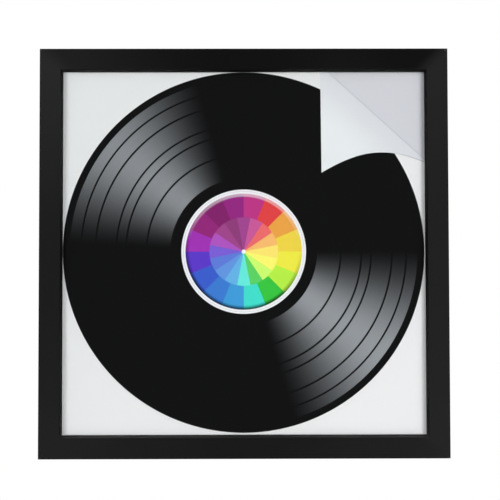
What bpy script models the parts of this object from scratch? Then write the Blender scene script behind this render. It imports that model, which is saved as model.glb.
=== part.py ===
"""A square wall frame for LP covers: mitred black moulding, glass, a printed insert and a turn-button back.

Metres, +Z up. The front faces -Y. The origin is the sawtooth hanger's centre notch, where the nail bears.
"""

import math

import bmesh
import bpy
from mathutils import Matrix, Vector, geometry

MM = 0.001

# Moulding
OUTER_SIDE = 340 * MM
FACE_WIDTH = 17.6 * MM
LEDGE_WIDTH = 7.1 * MM
LIP_HEIGHT = 11 * MM
ARRIS_RADIUS = 0.7 * MM
MITRE_GAP = 0.3 * MM

# Clearances
SEAT_GAP = 0.3 * MM
SHEET_PLAY = 0.75 * MM
OVERRUN = 5 * MM
WELD = 0.001 * MM

# Sheets in the rebate, front to back
GLASS_THICKNESS = 2 * MM
GLASS_SEAM = 0.3 * MM
INSERT_THICKNESS = 0.4 * MM
CARD_THICKNESS = 0.5 * MM
FILLER_THICKNESS = 3 * MM
BACKING_THICKNESS = 3 * MM

# The insert's turned-over corner, measured from the corner of the whole sheet
FOLD_ALONG_TOP = 94 * MM
FOLD_DOWN_SIDE = 85.6 * MM
FLAP_TIP_ACROSS = 93.2 * MM
FLAP_TIP_DOWN = 91.5 * MM
FLAP_TIP_HANDLE = 44 * MM
FLAP_TIP_ANGLE = 31
FLAP_END_HANDLE = 36 * MM
FLAP_END_ANGLE = 155

# Turn buttons, pressed from sheet steel with a stiffening rib; their inset is from the frame's corner
BUTTON_INSET = 80 * MM
BUTTON_THICKNESS = 1 * MM
BUTTON_EYE_RADIUS = 4.5 * MM
BUTTON_TIP_RADIUS = 3.2 * MM
BUTTON_REACH = 17 * MM
RIB_RADIUS = 1.5 * MM
RIB_GROOVE_RADIUS = 0.7 * MM
RIB_START = 7 * MM
RIB_LENGTH = 8 * MM

# Pan-head screws that the buttons turn on
SCREW_SHANK_RADIUS = 1.3 * MM
SCREW_HEAD_RADIUS = 3 * MM
SCREW_HEAD_HEIGHT = 1.6 * MM
SCREW_RIM_HEIGHT = 0.5 * MM
SCREW_LENGTH = 11 * MM
SCREW_POINT = 2.5 * MM
RECESS_LENGTH = 3.4 * MM
RECESS_WIDTH = 0.8 * MM
RECESS_DEPTH = 0.9 * MM

# Sawtooth hanger and its nails
HANGER_LENGTH = 60 * MM
HANGER_HEIGHT = 8 * MM
HANGER_THICKNESS = 0.8 * MM
HANGER_RISE = 1.7 * MM
HANGER_EAR = 9.5 * MM
HANGER_RAMP = 3 * MM
HANGER_MARGIN = 1.2 * MM
TOOTH_PITCH = 2.2 * MM
TOOTH_LAND = 0.4 * MM
TOOTH_DEPTH = 1.8 * MM
NOTCH_COUNT = 13
NAIL_SHANK_RADIUS = 0.8 * MM
NAIL_HEAD_RADIUS = 2.1 * MM
NAIL_HEAD_HEIGHT = 0.9 * MM
NAIL_RIM_HEIGHT = 0.3 * MM
NAIL_LENGTH = 8 * MM
NAIL_POINT = 1.5 * MM

# V-nails, driven across the mitres from behind
VEE_LEG = 4.5 * MM
VEE_THICKNESS = 0.6 * MM
VEE_DEPTH = 8 * MM
VEE_SPLAY = 60
VEE_INSET_SHARE = 0.62

# Rubber wall bumpers, with their inset from the frame's corner
BUMPER_INSET = 28 * MM
BUMPER_BASE_RADIUS = 4.8 * MM
BUMPER_FACE_RADIUS = 4.1 * MM
BUMPER_EDGE_RADIUS = 0.6 * MM
BUMPER_HEIGHT = 3.4 * MM

# Facets
ARRIS_STEPS = 3
DOME_STEPS = 3
ROUND_STEPS = 12
FLAP_STEPS = 16
BEND_STEPS = 6
TURNED_STEPS = 24
SHARP_ANGLE = 35

WALL_WIDTH = FACE_WIDTH - LEDGE_WIDTH
SHEET_SIDE = OUTER_SIDE - 2 * (WALL_WIDTH + SHEET_PLAY)
FOLDED_THICKNESS = 2 * INSERT_THICKNESS + SEAT_GAP
STACK = (GLASS_THICKNESS, FOLDED_THICKNESS, CARD_THICKNESS, FILLER_THICKNESS, BACKING_THICKNESS)
DEPTH = LIP_HEIGHT + sum(STACK) + SEAT_GAP * (len(STACK) + 1)

REAR_Y = -HANGER_RISE - HANGER_THICKNESS / 2
FRONT_Y = REAR_Y - DEPTH
LEDGE_Y = FRONT_Y + LIP_HEIGHT
TOP_Z = HANGER_MARGIN + HANGER_HEIGHT - TOOTH_DEPTH
HALF_SIDE = OUTER_SIDE / 2
CENTRE_Z = TOP_Z - HALF_SIDE
WALL_MIDDLE = HALF_SIDE - WALL_WIDTH / 2
BUTTON_PLACES = (BUTTON_INSET - HALF_SIDE, HALF_SIDE - BUTTON_INSET)
BUTTON_SEAT_Y = REAR_Y + SEAT_GAP
SCREW_SEAT_Y = BUTTON_SEAT_Y + BUTTON_THICKNESS + SEAT_GAP
HANGER_SEAT_Y = REAR_Y + SEAT_GAP
NAIL_SEAT_Y = HANGER_SEAT_Y + HANGER_THICKNESS + SEAT_GAP
NAIL_X = (HANGER_LENGTH - HANGER_EAR) / 2
NAIL_Z = HANGER_HEIGHT / 2 - TOOTH_DEPTH

SIDES = {"top": 0, "right": 90, "bottom": 180, "left": 270}
CORNERS = {"top": "top_right", "right": "bottom_right", "bottom": "bottom_left", "left": "top_left"}
REARWARD = Matrix.Rotation(math.radians(-90), 4, "X")
UPRIGHT = Matrix.Rotation(math.radians(90), 4, "X")


def about_y(degrees):
    return Matrix.Rotation(math.radians(degrees), 4, "Y")


def clear_scene():
    for obj in list(bpy.data.objects):
        bpy.data.objects.remove(obj, do_unlink=True)


def new_collection(name):
    collection = bpy.data.collections.new(name)
    bpy.context.scene.collection.children.link(collection)
    return collection


def new_material(name, color, roughness, metallic=0.0, transmission=0.0):
    material = bpy.data.materials.new(name)
    material.use_nodes = True
    shader = material.node_tree.nodes["Principled BSDF"]
    shader.inputs["Base Color"].default_value = (*color, 1.0)
    shader.inputs["Roughness"].default_value = roughness
    shader.inputs["Metallic"].default_value = metallic
    shader.inputs["Transmission Weight"].default_value = transmission
    return material


def new_mesh(shape, name):
    mesh = bpy.data.meshes.new(name)
    shape.to_mesh(mesh)
    shape.free()
    return mesh


def draft(data, name="draft"):
    """A construction object or a cutter, which is no piece of the frame."""
    obj = bpy.data.objects.new(name, data)
    obj.hide_render = True
    obj.display_type = "WIRE"
    cutters.objects.link(obj)
    return obj


def settled(obj):
    """The object's mesh with its modifiers applied and its caps welded. The object is removed."""
    evaluated = obj.evaluated_get(bpy.context.evaluated_depsgraph_get())
    mesh = bpy.data.meshes.new_from_object(evaluated)
    shape = bmesh.new()
    shape.from_mesh(mesh)
    bmesh.ops.remove_doubles(shape, verts=shape.verts, dist=WELD)
    shape.to_mesh(mesh)
    shape.free()
    bpy.data.objects.remove(obj, do_unlink=True)
    return mesh


def combined(mesh, operation, others):
    """The mesh after an exact Boolean with each of the others."""
    base = draft(mesh)
    tools = [draft(other, "cutter") for other in others]
    for tool in tools:
        boolean = base.modifiers.new(operation.lower(), "BOOLEAN")
        boolean.operation = operation
        boolean.object = tool
    result = settled(base)
    for tool in tools:
        bpy.data.objects.remove(tool, do_unlink=True)
    return result


def place(name, mesh, material, location=(0, 0, 0), parent=None):
    obj = bpy.data.objects.new(name, mesh)
    if not mesh.materials:
        mesh.materials.append(material)
    mesh.shade_smooth()
    mesh.set_sharp_from_angle(angle=math.radians(SHARP_ANGLE))
    obj.location = location
    obj.parent = parent
    frame.objects.link(obj)
    return obj


def arc(centre, radius, start, end, steps):
    """Points on an arc, ends included, between two angles in degrees."""
    angles = [math.radians(start + (end - start) * step / steps) for step in range(steps + 1)]
    return [(centre[0] + radius * math.cos(a), centre[1] + radius * math.sin(a)) for a in angles]


def prism(outline, thickness):
    """A flat outline in the XY plane, thickened evenly about z = 0."""
    curve = bpy.data.curves.new("outline", "CURVE")
    curve.dimensions = "2D"
    curve.fill_mode = "BOTH"
    curve.extrude = thickness / 2
    spline = curve.splines.new("POLY")
    spline.points.add(len(outline) - 1)
    for point, (x, y) in zip(spline.points, outline):
        point.co = (x, y, 0, 1)
    spline.use_cyclic_u = True
    return settled(draft(curve))


def box(size, centre=(0, 0, 0), seam=0):
    """A block, with its edges seamed off where a seam is given."""
    shape = bmesh.new()
    bmesh.ops.create_cube(shape, size=1)
    bmesh.ops.scale(shape, vec=size, verts=shape.verts)
    if seam:
        bmesh.ops.bevel(shape, geom=shape.edges, offset=seam, segments=1, affect="EDGES")
    bmesh.ops.translate(shape, vec=centre, verts=shape.verts)
    return new_mesh(shape, "box")


def drill(radius, mouth, depth):
    """A round cutter that runs forwards from its mouth, and clears it behind."""
    x, y, z = mouth
    middle = (x, y + (OVERRUN - depth) / 2, z)
    shape = bmesh.new()
    bmesh.ops.create_cone(
        shape,
        cap_ends=True,
        segments=TURNED_STEPS,
        radius1=radius,
        radius2=radius,
        depth=depth + OVERRUN,
        matrix=Matrix.Translation(middle) @ REARWARD,
    )
    return new_mesh(shape, "drill")


def turned(profile):
    """A solid turned about Y from (radius, y) points that run from its rear pole to its front pole."""
    shape = bmesh.new()
    verts = [shape.verts.new((radius, 0, along)) for radius, along in profile]
    for pair in zip(verts, verts[1:]):
        shape.edges.new(pair)
    lathed = draft(new_mesh(shape, "profile"))
    screw = lathed.modifiers.new("lathe", "SCREW")
    screw.steps = screw.render_steps = TURNED_STEPS
    screw.use_merge_vertices = True
    screw.merge_threshold = WELD
    mesh = settled(lathed)
    mesh.transform(REARWARD)
    return mesh


def capsule(radius, start, length):
    """A round-ended bar down Z from its start, both its ends' centres on the Z axis."""
    shape = bmesh.new()
    bmesh.ops.create_uvsphere(shape, u_segments=TURNED_STEPS, v_segments=7, radius=radius)
    for vert in shape.verts:
        vert.co.z -= start if vert.co.z > 0 else start + length
    return new_mesh(shape, "capsule")


def moulding_outline():
    """The moulding's section: x runs inwards from the outer edge, y from the front to the back."""
    edge = ARRIS_RADIUS
    return [
        *arc((edge, edge), edge, 180, 270, ARRIS_STEPS),
        *arc((FACE_WIDTH - edge, edge), edge, 270, 360, ARRIS_STEPS),
        (FACE_WIDTH, LIP_HEIGHT),
        (WALL_WIDTH, LIP_HEIGHT),
        (WALL_WIDTH, DEPTH),
        *arc((edge, DEPTH - edge), edge, 90, 180, ARRIS_STEPS),
    ]


def mitre_cutter(turn):
    """Takes off what lies past the mitre at one end of the top rail."""
    reach = OUTER_SIDE
    mesh = box((reach, reach, 2 * reach), ((reach - MITRE_GAP) / 2, 0, 0))
    mesh.transform(about_y(turn))
    return mesh


def vee_plate(leg, thickness, depth):
    """A V-nail at the top right corner, from y = 0 forwards: its bend on the mitre, its legs to the corner."""
    inset = HALF_SIDE - WALL_WIDTH * VEE_INSET_SHARE
    bend = Vector((inset, 0, inset))
    to_corner = leg * Vector((1, 0, 1)).normalized()
    tips = [bend + about_y(turn) @ to_corner for turn in (-VEE_SPLAY, VEE_SPLAY)]
    shape = bmesh.new()
    verts = [shape.verts.new(point) for point in (tips[0], bend, tips[1])]
    edges = [shape.edges.new(pair) for pair in zip(verts, verts[1:])]
    drawn = bmesh.ops.extrude_edge_only(shape, edges=edges)["geom"]
    front = [item for item in drawn if isinstance(item, bmesh.types.BMVert)]
    bmesh.ops.translate(shape, vec=(0, -depth, 0), verts=front)
    sheet = draft(new_mesh(shape, "v_nail"))
    plate = sheet.modifiers.new("plate", "SOLIDIFY")
    plate.thickness = thickness
    plate.offset = 0
    plate.use_even_offset = True
    return settled(sheet)


def vee_slot(turn):
    """What a V-nail's slot takes out of the rails, at the corner that lies this far round."""
    mesh = vee_plate(VEE_LEG + SEAT_GAP, VEE_THICKNESS + 2 * SEAT_GAP, OVERRUN + VEE_DEPTH + SEAT_GAP)
    mesh.transform(about_y(turn) @ Matrix.Translation((0, REAR_Y + OVERRUN, 0)))
    return mesh


def rail_mesh(extra_cutters):
    """The top rail about the frame's centre: a length of moulding, mitred, slotted and drilled."""
    mesh = prism(moulding_outline(), OUTER_SIDE)
    mesh.transform(Matrix.Translation((0, FRONT_Y, HALF_SIDE)) @ about_y(90))
    radius = SCREW_SHANK_RADIUS + SEAT_GAP
    depth = SCREW_LENGTH - BUTTON_THICKNESS - SEAT_GAP
    drills = [drill(radius, (x, REAR_Y, WALL_MIDDLE), depth) for x in BUTTON_PLACES]
    ends = [mitre_cutter(45), mitre_cutter(135), vee_slot(0), vee_slot(-90)]
    return combined(mesh, "DIFFERENCE", [*ends, *drills, *extra_cutters])


def nail_drills():
    """The hanger nails' holes, about the frame's centre."""
    radius = NAIL_SHANK_RADIUS + SEAT_GAP
    depth = NAIL_LENGTH - HANGER_THICKNESS - SEAT_GAP
    return [drill(radius, (x, REAR_Y, NAIL_Z - CENTRE_Z), depth) for x in (-NAIL_X, NAIL_X)]


def insert_mesh():
    """The printed card about its own middle plane, its top right corner turned over to the front."""
    half = SHEET_SIDE / 2
    fold_top = Vector((half - FOLD_ALONG_TOP, 0, half))
    fold_side = Vector((half, 0, half - FOLD_DOWN_SIDE))
    square_corners = [Vector((-half, 0, half)), Vector((-half, 0, -half)), Vector((half, 0, -half))]
    shape = bmesh.new()
    verts = [shape.verts.new(point) for point in (*square_corners, fold_side, fold_top)]
    shape.faces.new(verts)
    fold = shape.edges.get(verts[3:])
    radius = (INSERT_THICKNESS + SEAT_GAP) / 2
    bend = bmesh.ops.spin(
        shape,
        geom=[*verts[3:], fold],
        cent=fold_top - Vector((0, radius, 0)),
        axis=(fold_side - fold_top).normalized(),
        angle=math.pi,
        steps=BEND_STEPS,
    )
    ends = [item for item in bend["geom_last"] if isinstance(item, bmesh.types.BMVert)]
    left, right = sorted(ends, key=lambda vert: vert.co.x)
    tip = Vector((half - FLAP_TIP_ACROSS, left.co.y, half - FLAP_TIP_DOWN))
    tip_handle = tip + about_y(-FLAP_TIP_ANGLE) @ Vector((FLAP_TIP_HANDLE, 0, 0))
    end_handle = right.co + about_y(-FLAP_END_ANGLE) @ Vector((FLAP_END_HANDLE, 0, 0))
    edge = geometry.interpolate_bezier(tip, tip_handle, end_handle, right.co, FLAP_STEPS)
    shape.faces.new([left, *[shape.verts.new(point) for point in edge[:-1]], right])
    bmesh.ops.recalc_face_normals(shape, faces=shape.faces)
    sheet = draft(new_mesh(shape, "insert"))
    card = sheet.modifiers.new("card", "SOLIDIFY")
    card.thickness = INSERT_THICKNESS
    card.offset = 0
    card.use_even_offset = True
    return settled(sheet)


def button_mesh():
    """A turn button with its eye's axis on Y and its front side at y = 0, pointing down."""
    slope = math.degrees(math.asin((BUTTON_EYE_RADIUS - BUTTON_TIP_RADIUS) / BUTTON_REACH))
    outline = [
        *arc((0, 0), BUTTON_EYE_RADIUS, -slope, 180 + slope, ROUND_STEPS),
        *arc((0, -BUTTON_REACH), BUTTON_TIP_RADIUS, 180 + slope, 360 - slope, ROUND_STEPS),
    ]
    plate = prism(outline, BUTTON_THICKNESS)
    plate.transform(Matrix.Translation((0, BUTTON_THICKNESS / 2, 0)) @ UPRIGHT)
    ribbed = combined(plate, "UNION", [capsule(RIB_RADIUS, RIB_START, RIB_LENGTH)])
    reach = 2 * BUTTON_REACH
    before = box((reach, OVERRUN, 2 * reach), (0, -OVERRUN / 2, 0))
    groove = capsule(RIB_GROOVE_RADIUS, RIB_START, RIB_LENGTH)
    eye = drill(SCREW_SHANK_RADIUS + SEAT_GAP, (0, BUTTON_THICKNESS, 0), BUTTON_THICKNESS + OVERRUN)
    return combined(ribbed, "DIFFERENCE", [before, groove, eye])


def fastener_mesh(head_radius, head_height, rim_height, shank_radius, length, point):
    """A round-headed fastener along Y, its head behind y = 0 and its shank in front of it."""
    crown = head_height - rim_height
    dome_radius = (head_radius**2 + crown**2) / (2 * crown)
    rim = math.degrees(math.acos(head_radius / dome_radius))
    profile = [
        *arc((0, head_height - dome_radius), dome_radius, 90, rim, DOME_STEPS),
        (head_radius, 0),
        (shank_radius, 0),
        (shank_radius, point - length),
        (0, -length),
    ]
    return turned(profile)


def screw_mesh():
    mesh = fastener_mesh(
        SCREW_HEAD_RADIUS,
        SCREW_HEAD_HEIGHT,
        SCREW_RIM_HEIGHT,
        SCREW_SHANK_RADIUS,
        SCREW_LENGTH,
        SCREW_POINT,
    )
    depth = RECESS_DEPTH + OVERRUN
    centre = (0, SCREW_HEAD_HEIGHT + (OVERRUN - RECESS_DEPTH) / 2, 0)
    slots = [(RECESS_LENGTH, depth, RECESS_WIDTH), (RECESS_WIDTH, depth, RECESS_LENGTH)]
    return combined(mesh, "DIFFERENCE", [box(size, centre) for size in slots])


def hanger_mesh():
    """The sawtooth hanger in place: a joggled strip, trimmed to a round-ended outline with teeth below."""
    half = HANGER_LENGTH / 2
    ear = half - HANGER_EAR
    flat = ear - HANGER_RAMP
    raised = REAR_Y + HANGER_RISE
    stations = [(half + OVERRUN, HANGER_SEAT_Y), (ear, HANGER_SEAT_Y), (flat, raised)]
    front = [(-x, y) for x, y in stations] + [(x, y) for x, y in reversed(stations)]
    rear = [(x, y + HANGER_THICKNESS) for x, y in reversed(front)]
    strip = prism(front + rear, HANGER_HEIGHT + 2 * OVERRUN)
    strip.transform(Matrix.Translation((0, 0, NAIL_Z)))
    end = HANGER_HEIGHT / 2
    outline = arc((end - half, NAIL_Z), end, 90, 270, ROUND_STEPS)
    for notch in range(NOTCH_COUNT):
        x = (notch - (NOTCH_COUNT - 1) / 2) * TOOTH_PITCH
        width = (TOOTH_PITCH - TOOTH_LAND) / 2
        outline += [(x - width, -TOOTH_DEPTH), (x, 0), (x + width, -TOOTH_DEPTH)]
    outline += arc((half - end, NAIL_Z), end, -90, 90, ROUND_STEPS)
    trim = prism(outline, OUTER_SIDE)
    trim.transform(UPRIGHT)
    toothed = combined(strip, "INTERSECT", [trim])
    eye = NAIL_SHANK_RADIUS + SEAT_GAP
    mouth = HANGER_SEAT_Y + HANGER_THICKNESS
    depth = HANGER_THICKNESS + OVERRUN
    return combined(toothed, "DIFFERENCE", [drill(eye, (x, mouth, NAIL_Z), depth) for x in (-NAIL_X, NAIL_X)])


def bumper_mesh():
    """A tapered rubber bumper along Y, its base at y = 0."""
    edge = BUMPER_EDGE_RADIUS
    lean = math.degrees(math.atan((BUMPER_BASE_RADIUS - BUMPER_FACE_RADIUS) / BUMPER_HEIGHT))
    rounding = arc((BUMPER_FACE_RADIUS - edge, BUMPER_HEIGHT - edge), edge, 90, lean, ARRIS_STEPS)
    return turned([(0, BUMPER_HEIGHT), *rounding, (BUMPER_BASE_RADIUS, 0), (0, 0)])


def build_sheets():
    """Glass, insert, card, filler and backing, each a seat gap behind the one before it."""
    side = SHEET_SIDE
    card = new_material("plain_card", (0.62, 0.62, 0.68), 0.8)
    sheets = {
        "glass_pane": (
            box((side, GLASS_THICKNESS, side), seam=GLASS_SEAM),
            new_material("glass", (0.95, 0.98, 0.97), 0.02, transmission=1.0),
        ),
        "printed_insert": (insert_mesh(), new_material("printed_card", (0.82, 0.83, 0.85), 0.5)),
        "plain_card": (box((side, CARD_THICKNESS, side)), card),
        "filler_card": (
            box((side, FILLER_THICKNESS, side)),
            new_material("corrugated_card", (0.46, 0.32, 0.19), 0.9),
        ),
        "backing_board": (
            box((side, BACKING_THICKNESS, side)),
            new_material("hardboard", (0.25, 0.14, 0.07), 0.7),
        ),
    }
    front = LEDGE_Y
    for (name, (mesh, material)), thickness in zip(sheets.items(), STACK):
        front += SEAT_GAP
        middle = front + thickness / 2
        if name == "printed_insert":
            middle = front + thickness - INSERT_THICKNESS / 2
        place(name, mesh, material, (0, middle, CENTRE_Z))
        front += thickness


def build_sides():
    """Each side's rail, turn buttons and V-nail, carried by an empty at the frame's centre."""
    black = new_material("satin_black_paint", (0.012, 0.012, 0.013), 0.38)
    zinc = new_material("zinc_plated_steel", (0.62, 0.63, 0.65), 0.34, metallic=1.0)
    plain_rail = rail_mesh([])
    top_rail = rail_mesh(nail_drills())
    button = button_mesh()
    screw = screw_mesh()
    vee = vee_plate(VEE_LEG, VEE_THICKNESS, VEE_DEPTH)
    hubs = {}
    for side, turn in SIDES.items():
        hub = bpy.data.objects.new(f"side_{side}", None)
        hub.location = (0, 0, CENTRE_Z)
        hub.rotation_euler = (0, math.radians(turn), 0)
        frame.objects.link(hub)
        hubs[side] = hub
        place(f"rail_{side}", top_rail if side == "top" else plain_rail, black, parent=hub)
        place(f"v_nail_{CORNERS[side]}", vee, zinc, (0, REAR_Y, 0), hub)
        for number, x in enumerate(BUTTON_PLACES, 1):
            place(f"turn_button_{side}_{number}", button, zinc, (x, BUTTON_SEAT_Y, WALL_MIDDLE), hub)
            place(f"button_screw_{side}_{number}", screw, zinc, (x, SCREW_SEAT_Y, WALL_MIDDLE), hub)
    return hubs


def build_hanging(hubs):
    """The hanger with its nails on the top rail, and the bumpers on the bottom rail."""
    brass = new_material("brass_plated_steel", (0.72, 0.55, 0.26), 0.32, metallic=1.0)
    rubber = new_material("grey_rubber", (0.09, 0.09, 0.09), 0.75)
    place("sawtooth_hanger", hanger_mesh(), brass)
    nail = fastener_mesh(
        NAIL_HEAD_RADIUS,
        NAIL_HEAD_HEIGHT,
        NAIL_RIM_HEIGHT,
        NAIL_SHANK_RADIUS,
        NAIL_LENGTH,
        NAIL_POINT,
    )
    bumper = bumper_mesh()
    for side, sign in (("left", -1), ("right", 1)):
        place(f"hanger_nail_{side}", nail, brass, (sign * NAIL_X, NAIL_SEAT_Y, NAIL_Z))
        seat = (sign * (BUMPER_INSET - HALF_SIDE), REAR_Y + SEAT_GAP, WALL_MIDDLE)
        place(f"wall_bumper_{side}", bumper, rubber, seat, hubs["bottom"])


clear_scene()
frame = new_collection("vinyl_record_frame")
cutters = new_collection("cutters")
build_sheets()
build_hanging(build_sides())
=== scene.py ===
import math

import bmesh
import bpy
from mathutils import Matrix, Vector, geometry


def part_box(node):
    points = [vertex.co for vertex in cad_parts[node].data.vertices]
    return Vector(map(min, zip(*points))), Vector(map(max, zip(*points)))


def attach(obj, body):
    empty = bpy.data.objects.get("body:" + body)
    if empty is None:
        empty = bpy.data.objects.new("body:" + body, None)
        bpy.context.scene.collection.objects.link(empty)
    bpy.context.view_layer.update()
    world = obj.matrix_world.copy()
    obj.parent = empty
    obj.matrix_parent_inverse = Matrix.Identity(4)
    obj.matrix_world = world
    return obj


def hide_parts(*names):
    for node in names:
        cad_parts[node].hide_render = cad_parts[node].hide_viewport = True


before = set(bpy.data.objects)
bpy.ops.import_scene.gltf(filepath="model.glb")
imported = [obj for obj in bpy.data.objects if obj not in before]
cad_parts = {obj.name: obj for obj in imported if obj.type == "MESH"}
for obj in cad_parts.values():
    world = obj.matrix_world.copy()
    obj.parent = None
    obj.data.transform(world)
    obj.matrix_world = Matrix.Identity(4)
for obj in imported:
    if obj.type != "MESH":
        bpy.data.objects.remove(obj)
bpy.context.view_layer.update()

millimetre = 0.001

# Places that the rest is worked out from
railTopLow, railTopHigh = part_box("rail_top")
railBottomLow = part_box("rail_bottom")[0]
sheetLow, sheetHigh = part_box("printed_insert")
frameCentre = Vector((0, railTopLow.y, (railTopHigh.z + railBottomLow.z) / 2))
halfOutside = railTopHigh.z - frameCentre.z
halfSight = railTopLow.z - frameCentre.z
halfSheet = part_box("backing_board")[1].x  # the board and the sheets are cut alike
print("frame: outside", round(2 * halfOutside, 4), "sight", round(2 * halfSight, 4))


# Working in edit mode

def activate(piece):
    bpy.ops.object.select_all(action="DESELECT")
    piece.select_set(True)
    bpy.context.view_layer.objects.active = piece


def startEditing(piece):
    activate(piece)
    bpy.ops.object.mode_set(mode="EDIT")
    bpy.ops.mesh.select_mode(type="VERT")
    bpy.ops.mesh.select_all(action="SELECT")


def stopEditing(faceOutwards=False):
    if faceOutwards:
        bpy.ops.mesh.select_all(action="SELECT")
        bpy.ops.mesh.normals_make_consistent(inside=False)
    bpy.ops.object.mode_set(mode="OBJECT")


def selectWhere(piece, kind, wanted):
    # of the points, edges or faces, the wanted ones and no others
    bpy.ops.mesh.select_mode(type=kind)
    bpy.ops.mesh.select_all(action="DESELECT")
    shape = bmesh.from_edit_mesh(piece.data)
    for part in {"VERT": shape.verts, "EDGE": shape.edges, "FACE": shape.faces}[kind]:
        part.select_set(wanted(part))
    bmesh.update_edit_mesh(piece.data)


def drawOut(*step):
    bpy.ops.mesh.extrude_region_move(TRANSFORM_OT_translate={"value": step})


def applyModifiers(piece):
    activate(piece)
    for modifier in list(piece.modifiers):
        bpy.ops.object.modifier_apply(modifier=modifier.name)


def smooth(piece, degrees):
    activate(piece)
    bpy.ops.object.shade_smooth_by_angle(angle=math.radians(degrees))
    weighted = piece.modifiers.new("flat faces stay flat", "WEIGHTED_NORMAL")
    weighted.keep_sharp = True
    applyModifiers(piece)


def settle(piece, name):
    activate(piece)
    bpy.ops.object.transform_apply(location=True, rotation=True, scale=True)
    piece.name = name
    piece.data.name = name


def addObject(name, data):
    made = bpy.data.objects.new(name, data)
    bpy.context.scene.collection.objects.link(made)
    return made


def newPiece(name, addPrimitive, **settings):
    bpy.ops.object.select_all(action="DESELECT")
    addPrimitive(**settings)
    piece = bpy.context.object
    settle(piece, name)
    return piece


def easeEdges(piece, width, look):
    eased = piece.modifiers.new("eased edges", "BEVEL")
    eased.width = width
    eased.segments = look["easeSteps"]
    eased.limit_method = "ANGLE"
    eased.angle_limit = math.radians(look["sharpAngle"])
    applyModifiers(piece)


def mendCuts(piece):
    # a cut leaves points that are too near each other to matter
    tooNear = 0.004 * millimetre
    startEditing(piece)
    bpy.ops.mesh.remove_doubles(threshold=tooNear)
    bpy.ops.mesh.dissolve_degenerate(threshold=tooNear)
    stopEditing()


def join(piece, tool, operation):
    # adds the tool to the piece or cuts it out, and puts the tool away
    change = piece.modifiers.new(operation.lower(), "BOOLEAN")
    change.operation = operation
    change.solver = "EXACT"
    change.object = tool
    applyModifiers(piece)
    bpy.data.objects.remove(tool)


# Working with nodes

def plug(tree, node, inputs):
    for socket, value in inputs.items():
        if isinstance(value, bpy.types.NodeSocket):
            tree.links.new(value, node.inputs[socket])
        else:
            node.inputs[socket].default_value = value


def addNode(tree, kind, inputs=None, **settings):
    made = tree.nodes.new("ShaderNode" + kind)
    for setting, value in settings.items():
        setattr(made, setting, value)
    plug(tree, made, inputs or {})
    return made


def maths(tree, operation, *values):
    return addNode(tree, "Math", dict(enumerate(values)), operation=operation).outputs[0]


def times(tree, first, second):
    return maths(tree, "MULTIPLY", first, second)


def inverted(tree, value):
    return maths(tree, "SUBTRACT", 1.0, value)


def awayFrom(tree, value, place):
    return maths(tree, "ABSOLUTE", maths(tree, "SUBTRACT", value, place))


def facing(tree, angle, degrees):
    # 1 where the angle is the wanted one, -1 on the opposite side
    return maths(tree, "COSINE", maths(tree, "SUBTRACT", angle, math.radians(degrees)))


def blended(tree, first, second, share):
    # this share of the first, and the second for the rest
    return maths(tree, "MULTIPLY_ADD", first, share, times(tree, second, 1 - share))


def ramped(tree, value, low, high, start=0.0, end=1.0, kind="LINEAR"):
    inputs = {"Value": value, "From Min": low, "From Max": high, "To Min": start, "To Max": end}
    return addNode(tree, "MapRange", inputs, interpolation_type=kind).outputs[0]


def mixed(tree, factor, first, second, kind="MIX"):
    # inputs 6 and 7 and output 2 are the node's colours
    inputs = {0: factor, 6: first, 7: second}
    return addNode(tree, "Mix", inputs, data_type="RGBA", blend_type=kind).outputs[2]


def noise(tree, place, scale, detail, roughness):
    inputs = {"Vector": place, "Scale": scale, "Detail": detail, "Roughness": roughness}
    return addNode(tree, "TexNoise", inputs).outputs[0]


def patchy(tree, place, look):
    # the look is a noise and the ramp that reads it
    noiseValues, rampValues = look
    return ramped(tree, noise(tree, place, *noiseValues), *rampValues)


def offsets(tree, place, centre):
    # how far a place lies from the centre: to the right, backwards and up
    centred = addNode(tree, "Mapping", {"Vector": place, "Location": -centre}).outputs[0]
    return addNode(tree, "SeparateXYZ", {"Vector": centred}).outputs


def shade(red, green, blue):
    # an sRGB colour, 0 to 255, as the linear one that a shader takes
    parts = [value / 255 for value in (red, green, blue)]
    linear = [part / 12.92 if part <= 0.04045 else ((part + 0.055) / 1.055) ** 2.4 for part in parts]
    return (*linear, 1)


def newGroup(name, inputs, outputs):
    group = bpy.data.node_groups.new(name, "ShaderNodeTree")
    for inOut, sockets in (("INPUT", inputs), ("OUTPUT", outputs)):
        for label, kind in sockets.items():
            group.interface.new_socket(name=label, in_out=inOut, socket_type="NodeSocket" + kind)
    return group, group.nodes.new("NodeGroupInput").outputs, group.nodes.new("NodeGroupOutput")


def useGroup(tree, group, inputs):
    return addNode(tree, "Group", inputs, node_tree=group).outputs


def newMaterial(name):
    material = bpy.data.materials.new(name)
    material.use_nodes = True
    tree = material.node_tree
    shader = tree.nodes["Principled BSDF"]
    place = addNode(tree, "TexCoord").outputs["Object"]
    return material, tree, shader, place


def mixSurfaces(tree, share, first, second):
    joined = addNode(tree, "MixShader", {0: share, 1: first, 2: second}).outputs[0]
    tree.links.new(joined, tree.nodes["Material Output"].inputs["Surface"])


def bump(tree, height, depth):
    return addNode(tree, "Bump", {"Height": height, "Distance": depth, "Strength": 1.0}).outputs[0]


# Effects that several materials share. Here and below, a noise is its scale, detail and roughness,
# a ramp is the range it reads and the range it gives, or 0 to 1 where it names none, and patches
# are a noise and its ramp

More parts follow.
